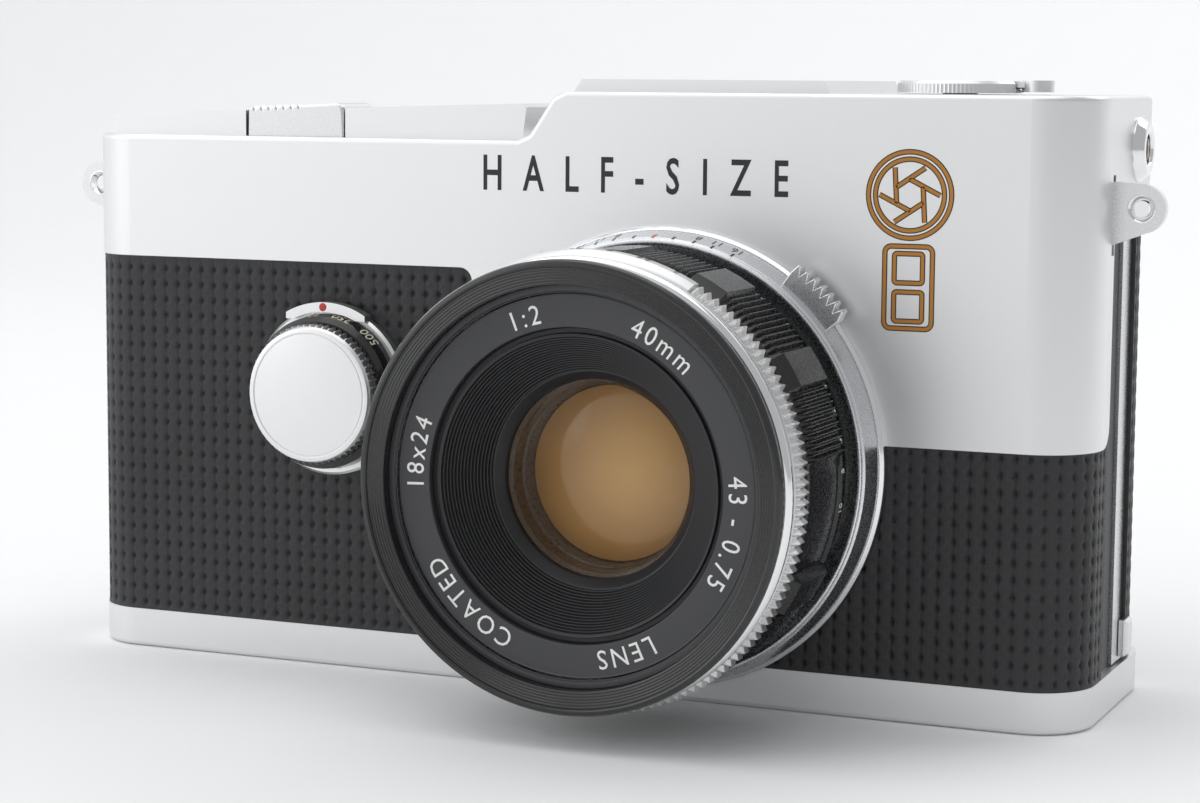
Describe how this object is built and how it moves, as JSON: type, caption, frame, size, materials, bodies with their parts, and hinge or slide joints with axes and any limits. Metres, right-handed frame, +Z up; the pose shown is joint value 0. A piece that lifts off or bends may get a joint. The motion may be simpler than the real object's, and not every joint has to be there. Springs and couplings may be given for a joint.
{
  "type": "half frame camera",
  "caption": "Half frame single-lens reflex camera with a focusing lens, iris, sideways mirror, rotary shutter, film transport, rewind crank and hinged back.",
  "frame": {"origin": "mouth of the tripod socket in the base plate, straight below the lens axis", "axes": "+Z up, -Y the way the lens looks, +X towards the rewind end of the body"},
  "size_m": [0.1386, 0.062, 0.0712],
  "materials": {
    "satin_chrome": "satin",
    "polished_chrome": "polished",
    "cast_alloy": "painted",
    "leatherette": "embossed",
    "black_anodised": "satin",
    "black_paint": "matt",
    "steel": "brushed",
    "brass": "machined",
    "optical_glass": "coated",
    "clear_glass": "polished",
    "mirror_silver": "polished",
    "black_plastic": "matt",
    "white_plastic": "matt"
  },
  "bodies": {
    "root": {"body_casting": "cast_alloy", "top_cover": "satin_chrome", "base_plate": "satin_chrome", "base_screws": "steel", "tripod_bush": "steel", "front_leather_left": "leatherette", "front_leather_right": "leatherette", "film_gate_plate": "black_paint", "mirror_box": "black_paint", "focusing_screen": "clear_glass", "finder_mirrors": "mirror_silver", "finder_prism": "clear_glass", "eyepiece_frame": "black_plastic", "eyepiece_glass": "clear_glass", "lens_flange": "polished_chrome", "flange_screws": "steel", "strap_lug_right": "polished_chrome", "strap_lug_left": "polished_chrome", "sync_ring": "polished_chrome", "sync_insulator": "white_plastic", "sync_pin": "brass", "hinge_pin": "steel", "dial_base": "satin_chrome", "scale_ring": "satin_chrome", "lens_barrel": "cast_alloy"},
    "back_door": {"door_shell": "satin_chrome", "door_leather": "leatherette"},
    "pressure_plate": {"pressure_plate": "black_paint"},
    "door_latch": {"door_latch": "satin_chrome"},
    "shutter_disc": {"shutter_disc": "black_paint"},
    "mirror": {"mirror_carrier": "black_paint", "reflex_mirror": "mirror_silver"},
    "take_up_spool": {"take_up_spool": "black_plastic"},
    "film_sprocket": {"film_sprocket": "steel"},
    "advance_lever": {"advance_lever": "satin_chrome"},
    "frame_counter": {"frame_counter": "black_plastic"},
    "shutter_release": {"shutter_release": "satin_chrome"},
    "rewind_sleeve": {"rewind_sleeve": "steel"},
    "rewind_knob": {"rewind_knob": "satin_chrome", "rewind_shaft": "steel"},
    "rewind_crank": {"rewind_crank": "satin_chrome"},
    "speed_dial": {"dial_numbers": "black_anodised", "dial_cap": "satin_chrome"},
    "lens_release": {"lens_release": "polished_chrome"},
    "rewind_release": {"rewind_release": "steel"},
    "preview_lever": {"preview_lever": "satin_chrome"},
    "focus_ring": {"focus_ring": "black_anodised"},
    "lens_head": {"lens_head": "black_anodised", "chrome_bead": "polished_chrome", "filter_ring": "black_anodised", "name_ring": "black_anodised", "lens_baffle": "black_anodised", "front_glass": "optical_glass", "rear_glass": "optical_glass"},
    "aperture_ring": {"aperture_ring": "satin_chrome"},
    "iris_blade_1": {"iris_blade_1": "black_paint"},
    "iris_blade_2": {"iris_blade_2": "black_paint"},
    "iris_blade_3": {"iris_blade_3": "black_paint"},
    "iris_blade_4": {"iris_blade_4": "black_paint"},
    "iris_blade_5": {"iris_blade_5": "black_paint"}
  },
  "joints": [
    {"name": "door_hinge", "type": "hinge", "parent": "root", "child": "back_door", "pos_m": [-0.0765, 0.0034, 0.03], "axis": [0, 0, 1], "range_deg": [0, 120]},
    {"name": "pressure_plate_spring", "type": "slide", "parent": "back_door", "child": "pressure_plate", "axis": [0, 1, 0], "range_m": [0, 0.0006], "stiffness_N_per_m": 300, "springref_m": -0.0005},
    {"name": "door_latch_slide", "type": "slide", "parent": "back_door", "child": "door_latch", "axis": [0, 0, 1], "range_m": [0, 0.003], "stiffness_N_per_m": 100, "springref_m": -0.001},
    {"name": "shutter_spin", "type": "hinge", "parent": "root", "child": "shutter_disc", "pos_m": [-0.0126, 0.0079, 0.0282], "axis": [0, 1, 0], "continuous": true},
    {"name": "mirror_swing", "type": "hinge", "parent": "root", "child": "mirror", "pos_m": [0.0102, 0.0039, 0.0282], "axis": [0, 0, 1], "range_deg": [0, 45], "stiffness_Nm_per_rad": 0.002, "springref_deg": -5.73},
    {"name": "sprocket_turn", "type": "hinge", "parent": "root", "child": "film_sprocket", "pos_m": [-0.0445, 0.0047, 0.0282], "axis": [0, 0, 1], "continuous": true},
    {"name": "spool_turn", "type": "hinge", "parent": "root", "child": "take_up_spool", "pos_m": [-0.062, -0.0006, 0.0282], "axis": [0, 0, 1], "continuous": true},
    {"name": "counter_turn", "type": "hinge", "parent": "root", "child": "frame_counter", "pos_m": [-0.062, -0.0006, 0.0282], "axis": [0, 0, 1], "continuous": true},
    {"name": "advance_stroke", "type": "hinge", "parent": "root", "child": "advance_lever", "pos_m": [-0.062, -0.0006, 0.065], "axis": [0, 0, 1], "range_deg": [0, 140], "stiffness_Nm_per_rad": 0.01, "springref_deg": -11.46},
    {"name": "release_press", "type": "slide", "parent": "root", "child": "shutter_release", "axis": [0, 0, -1], "range_m": [0, 0.0015], "stiffness_N_per_m": 600, "springref_m": -0.001},
    {"name": "rewind_lift", "type": "slide", "parent": "root", "child": "rewind_sleeve", "axis": [0, 0, 1], "range_m": [0, 0.007]},
    {"name": "rewind_turn", "type": "hinge", "parent": "rewind_sleeve", "child": "rewind_knob", "pos_m": [0.0295, -0.0009, 0.07], "axis": [0, 0, 1], "continuous": true},
    {"name": "crank_unfold", "type": "hinge", "parent": "rewind_knob", "child": "rewind_crank", "pos_m": [0.0251, -0.0009, 0.0707], "axis": [0, -1, 0], "range_deg": [0, 165]},
    {"name": "speed_turn", "type": "hinge", "parent": "root", "child": "speed_dial", "pos_m": [-0.0429, -0.0201, 0.0337], "axis": [0, 1, 0], "range_deg": [-210, 90]},
    {"name": "lens_release_press", "type": "slide", "parent": "root", "child": "lens_release", "axis": [0, 1, 0], "range_m": [0, 0.0015], "stiffness_N_per_m": 400, "springref_m": -0.001},
    {"name": "rewind_release_press", "type": "slide", "parent": "root", "child": "rewind_release", "axis": [0, 0, 1], "range_m": [0, 0.0012], "stiffness_N_per_m": 400, "springref_m": -0.001},
    {"name": "preview_swing", "type": "hinge", "parent": "root", "child": "preview_lever", "pos_m": [0, -0.0186, 0.0282], "axis": [0, 1, 0], "range_deg": [0, 20], "stiffness_Nm_per_rad": 0.02, "springref_deg": -5.73},
    {"name": "focus_turn", "type": "hinge", "parent": "root", "child": "focus_ring", "pos_m": [0, -0.0291, 0.0282], "axis": [0, 1, 0], "range_deg": [0, 200]},
    {"name": "lens_extend", "type": "slide", "parent": "root", "child": "lens_head", "axis": [0, -1, 0], "range_m": [0, 0.0046]},
    {"name": "aperture_turn", "type": "hinge", "parent": "lens_head", "child": "aperture_ring", "pos_m": [0, -0.0391, 0.0282], "axis": [0, 1, 0], "range_deg": [0, 60]},
    {"name": "blade_1_swing", "type": "hinge", "parent": "lens_head", "child": "iris_blade_1", "pos_m": [0.0142, -0.0265, 0.0282], "axis": [0, 1, 0], "range_deg": [-30, 0]},
    {"name": "blade_2_swing", "type": "hinge", "parent": "lens_head", "child": "iris_blade_2", "pos_m": [0.00439, -0.0265, 0.0417], "axis": [0, 1, 0], "range_deg": [-30, 0]},
    {"name": "blade_3_swing", "type": "hinge", "parent": "lens_head", "child": "iris_blade_3", "pos_m": [-0.01149, -0.0265, 0.03655], "axis": [0, 1, 0], "range_deg": [-30, 0]},
    {"name": "blade_4_swing", "type": "hinge", "parent": "lens_head", "child": "iris_blade_4", "pos_m": [-0.01149, -0.0265, 0.01985], "axis": [0, 1, 0], "range_deg": [-30, 0]},
    {"name": "blade_5_swing", "type": "hinge", "parent": "lens_head", "child": "iris_blade_5", "pos_m": [0.00439, -0.0265, 0.01469], "axis": [0, 1, 0], "range_deg": [-30, 0]}
  ],
  "couplings": [
    {"joint": "focus_turn", "follows": "lens_extend", "rad_per_m": 758.7},
    {"joint": "spool_turn", "follows": "sprocket_turn", "ratio": 0.9},
    {"joint": "counter_turn", "follows": "sprocket_turn", "ratio": 0.027778},
    {"joint": "blade_1_swing", "follows": "aperture_turn", "ratio": -0.5},
    {"joint": "blade_2_swing", "follows": "aperture_turn", "ratio": -0.5},
    {"joint": "blade_3_swing", "follows": "aperture_turn", "ratio": -0.5},
    {"joint": "blade_4_swing", "follows": "aperture_turn", "ratio": -0.5},
    {"joint": "blade_5_swing", "follows": "aperture_turn", "ratio": -0.5}
  ]
}
